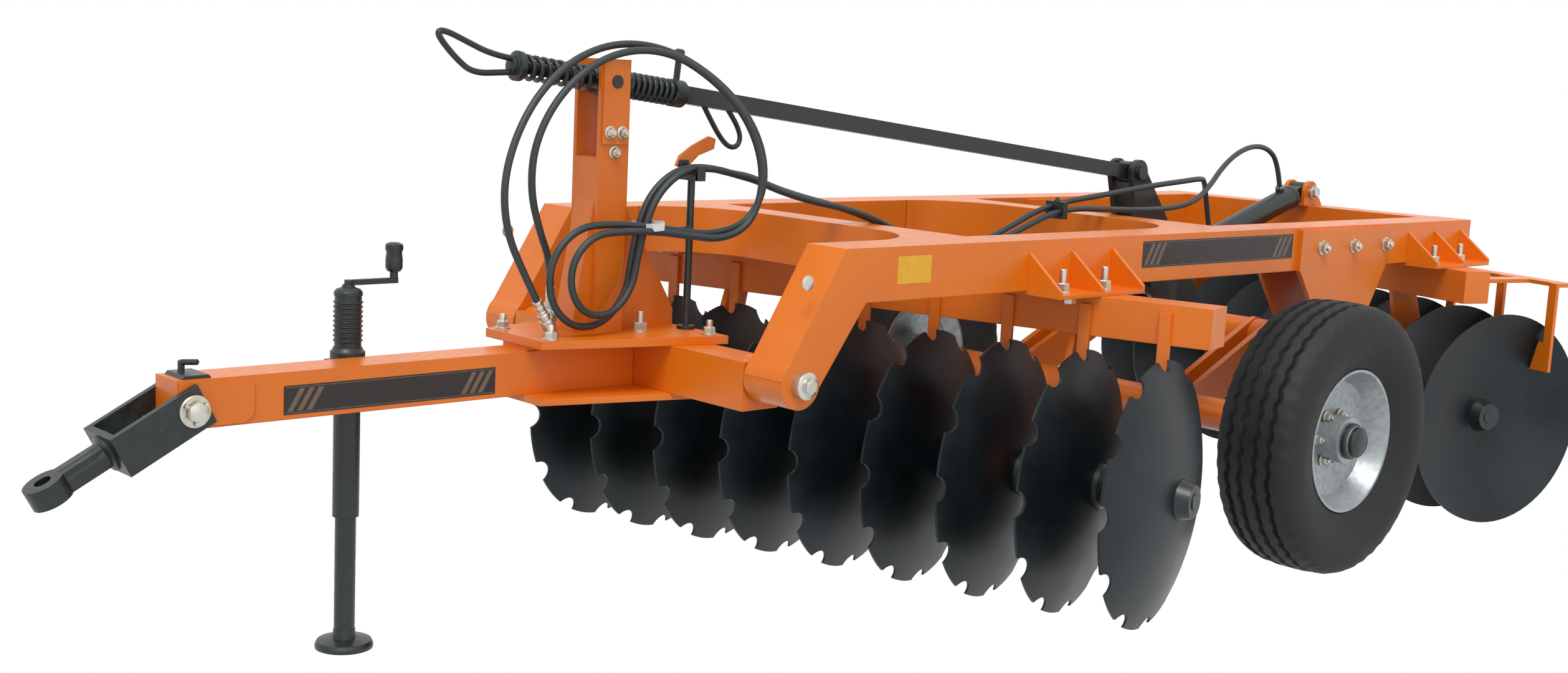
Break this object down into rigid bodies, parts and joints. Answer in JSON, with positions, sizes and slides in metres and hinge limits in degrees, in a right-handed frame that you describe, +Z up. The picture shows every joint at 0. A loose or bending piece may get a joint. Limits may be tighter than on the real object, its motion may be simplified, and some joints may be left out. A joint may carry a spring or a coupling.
{
  "type": "trailed offset disc harrow",
  "caption": "Towed farm disc harrow: two disc gangs set in a V under a long frame, transport wheels on a swinging axle, hinged drawbar with mast and parking jack.",
  "frame": {"origin": "on the ground under the middle of the machine's outline", "axes": "-Y the direction of travel, +X the machine's left side, +Z up"},
  "size_m": [1.9664, 5.054, 1.331],
  "materials": {
    "paint": "orange gloss paint",
    "dark": "charcoal satin paint",
    "disc": "dark heat-treated steel",
    "rim": "silver-grey paint",
    "tyre": "matt black rubber",
    "zinc": "zinc plated",
    "chrome": "hard chrome",
    "hose": "satin hydraulic hose"
  },
  "bodies": {
    "frame": {"frame_beam_left": "paint", "frame_beam_right": "paint", "cross_member_front": "paint", "cross_member_middle": "paint", "cross_member_rear": "paint", "cylinder_lug_pin": "zinc", "axle_hangers": "paint", "gang_beam_front": "paint", "gang_beam_rear": "paint", "bearing_standards_front": "paint", "bearing_standards_rear": "paint", "scrapers_front": "paint", "scrapers_rear": "paint", "gang_brackets_front": "paint", "gang_brackets_rear": "paint", "drawbar_pins": "zinc"},
    "drawbar": {"tongue_beam": "paint", "drawbar_plate_top": "paint", "drawbar_plate_bottom": "paint", "drawbar_crossbar": "paint", "mast": "paint", "mast_pin": "dark", "hose_holder": "dark", "hitch_pin": "zinc", "jack_tube": "dark", "jack_crank": "dark"},
    "jack": {"jack_leg": "dark"},
    "hitch": {"hitch_clevis": "dark", "hitch_eye": "dark"},
    "axle": {"axle_tube": "paint", "rockshaft": "paint", "axle_arms": "paint", "lift_lever": "dark"},
    "wheel_left": {"tyre_left": "tyre", "rim_left": "rim"},
    "wheel_right": {"tyre_right": "tyre", "rim_right": "rim"},
    "link": {"levelling_link": "dark", "link_spring": "dark"},
    "barrel": {"cylinder_barrel": "dark"},
    "rod": {"cylinder_rod": "chrome"},
    "front_gang": {"discs_front": "disc", "gang_axle_front": "dark"},
    "rear_gang": {"discs_rear": "disc", "gang_axle_rear": "dark"}
  },
  "joints": [
    {"name": "axle_lift", "type": "hinge", "parent": "frame", "child": "axle", "pos_m": [-0.02, 1.166, 0.566], "axis": [1, 0, 0], "range_deg": [-22, 14]},
    {"name": "wheel_left_spin", "type": "hinge", "parent": "axle", "child": "wheel_left", "pos_m": [0.788, 0.746, 0.38], "axis": [1, 0, 0], "continuous": true},
    {"name": "wheel_right_spin", "type": "hinge", "parent": "axle", "child": "wheel_right", "pos_m": [-0.828, 0.746, 0.38], "axis": [1, 0, 0], "continuous": true},
    {"name": "drawbar_pivot", "type": "hinge", "parent": "frame", "child": "drawbar", "pos_m": [-0.02, -1.055, 0.639], "axis": [1, 0, 0], "range_deg": [-16.62, 10.58]},
    {"name": "link_pivot", "type": "hinge", "parent": "drawbar", "child": "link", "pos_m": [-0.02, -1.189, 1.275], "axis": [1, 0, 0], "range_deg": [-12.04, 18.92]},
    {"name": "barrel_pivot", "type": "hinge", "parent": "frame", "child": "barrel", "pos_m": [-0.02, 1.83, 0.982], "axis": [1, 0, 0], "range_deg": [-3.87, 2.46]},
    {"name": "rod_slide", "type": "slide", "parent": "barrel", "child": "rod", "axis": [0, -0.9581, -0.2864], "range_m": [-0.08328, 0.053]},
    {"name": "jack_slide", "type": "slide", "parent": "drawbar", "child": "jack", "axis": [0, 0, 1], "range_m": [-0.05, 0.19]},
    {"name": "hitch_pivot", "type": "hinge", "parent": "drawbar", "child": "hitch", "pos_m": [-0.02, -2.216, 0.601], "axis": [-1, 0, 0], "range_deg": [0, 45]},
    {"name": "front_gang_spin", "type": "hinge", "parent": "frame", "child": "front_gang", "pos_m": [0.125, -0.356, 0.342], "axis": [0.9659, 0.2588, 0], "continuous": true},
    {"name": "rear_gang_spin", "type": "hinge", "parent": "frame", "child": "rear_gang", "pos_m": [-0.035, 1.974, 0.342], "axis": [0.9511, -0.309, 0], "continuous": true}
  ],
  "couplings": [
    {"joint": "drawbar_pivot", "follows": "axle_lift", "ratio": 0.75499},
    {"joint": "link_pivot", "follows": "axle_lift", "ratio": -0.85973},
    {"joint": "barrel_pivot", "follows": "axle_lift", "ratio": 0.17577},
    {"joint": "rod_slide", "follows": "axle_lift", "m_per_rad": 0.21678}
  ]
}
